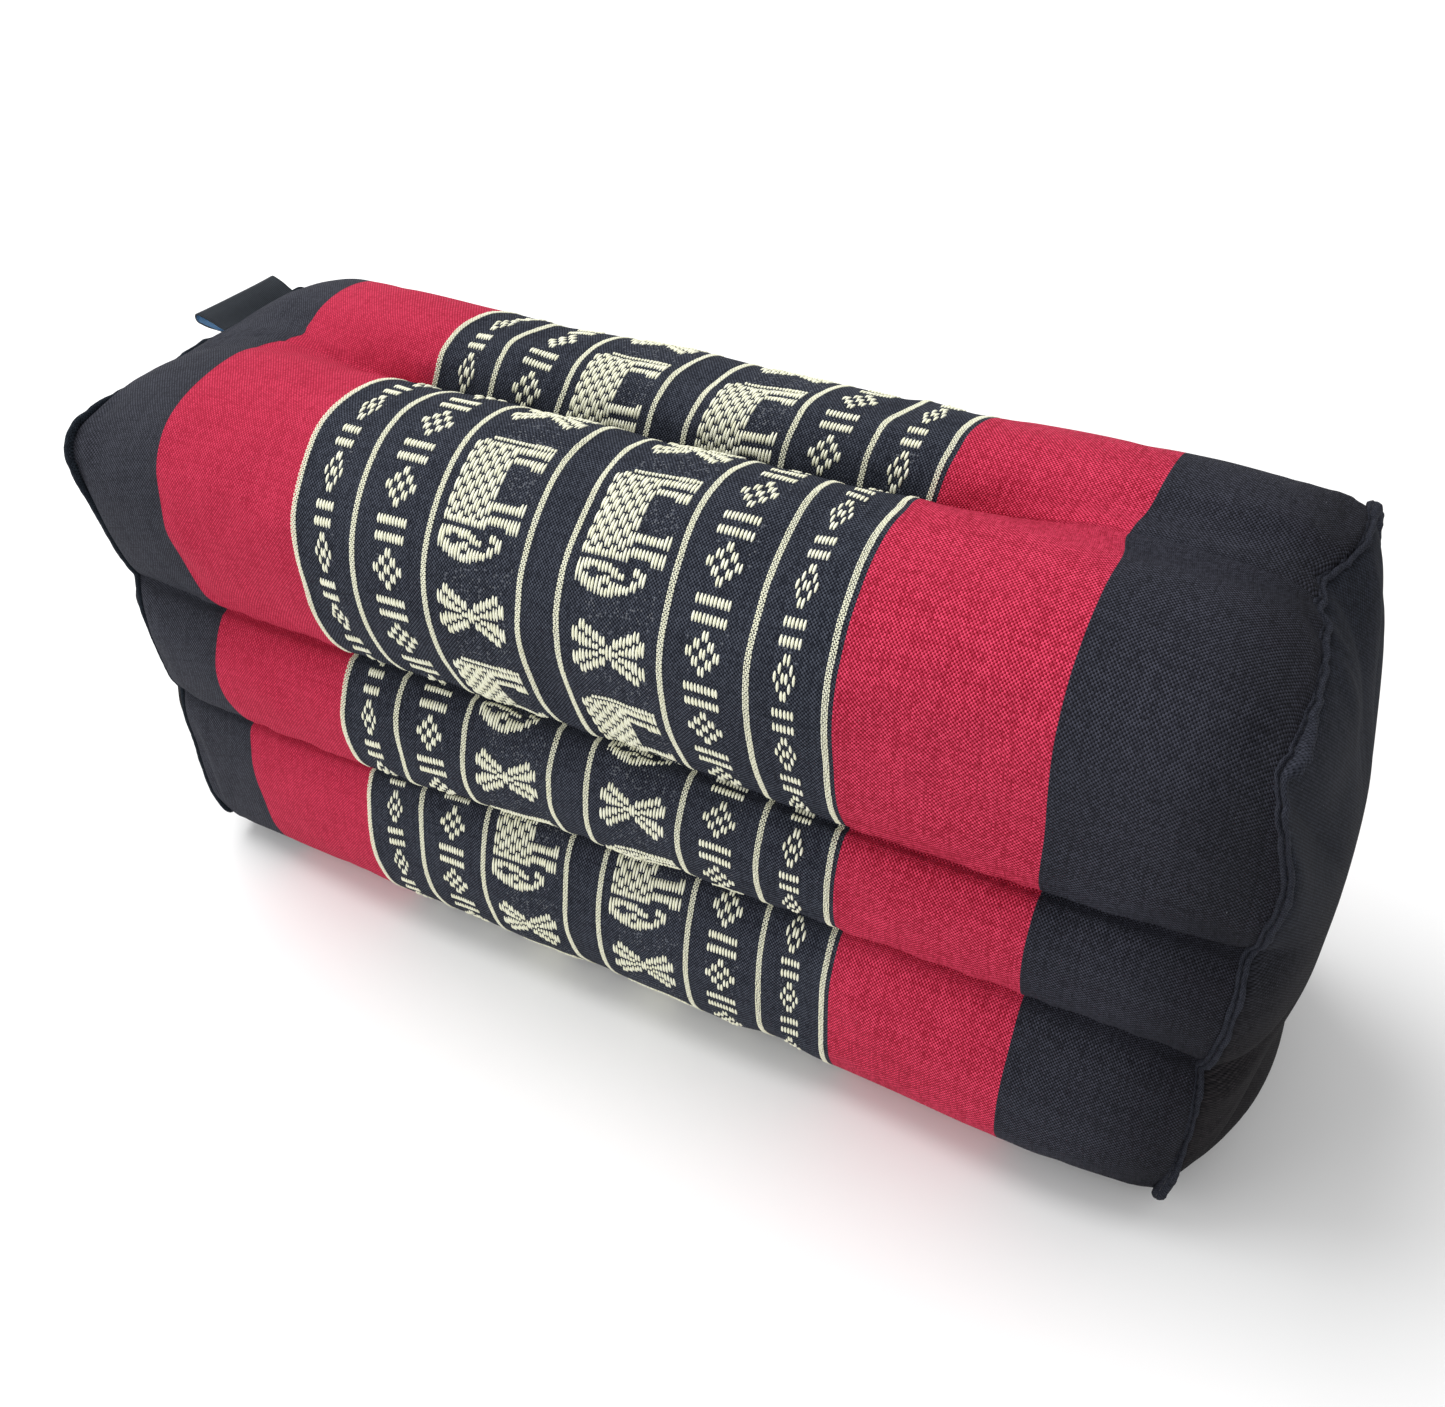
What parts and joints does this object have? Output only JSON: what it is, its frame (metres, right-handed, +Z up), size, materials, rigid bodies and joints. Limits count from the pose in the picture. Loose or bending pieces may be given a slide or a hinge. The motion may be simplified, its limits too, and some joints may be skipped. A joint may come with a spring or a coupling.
{
  "type": "meditation block cushion",
  "caption": "Firm block cushion of woven cloth with long sewn channels, domed end panels with turned-out seams and a folded ribbon tag.",
  "frame": {"origin": "centre of the footprint, on the surface the block rests on", "axes": "+X along the block away from the tag's end, +Y through its depth towards the back, +Z up"},
  "size_m": [0.3441, 0.1169, 0.1639],
  "materials": {
    "wrap_cloth": "plain woven cotton, matt, with navy bands and raised cream figures",
    "end_cloth": "plain woven cotton, matt, near black",
    "tag_ribbon": "close woven ribbon, slight sheen, bare"
  },
  "bodies": {
    "root": {"cushion": "wrap_cloth", "end_panel_left": "end_cloth", "end_panel_right": "end_cloth", "label": "tag_ribbon"}
  },
  "joints": []
}
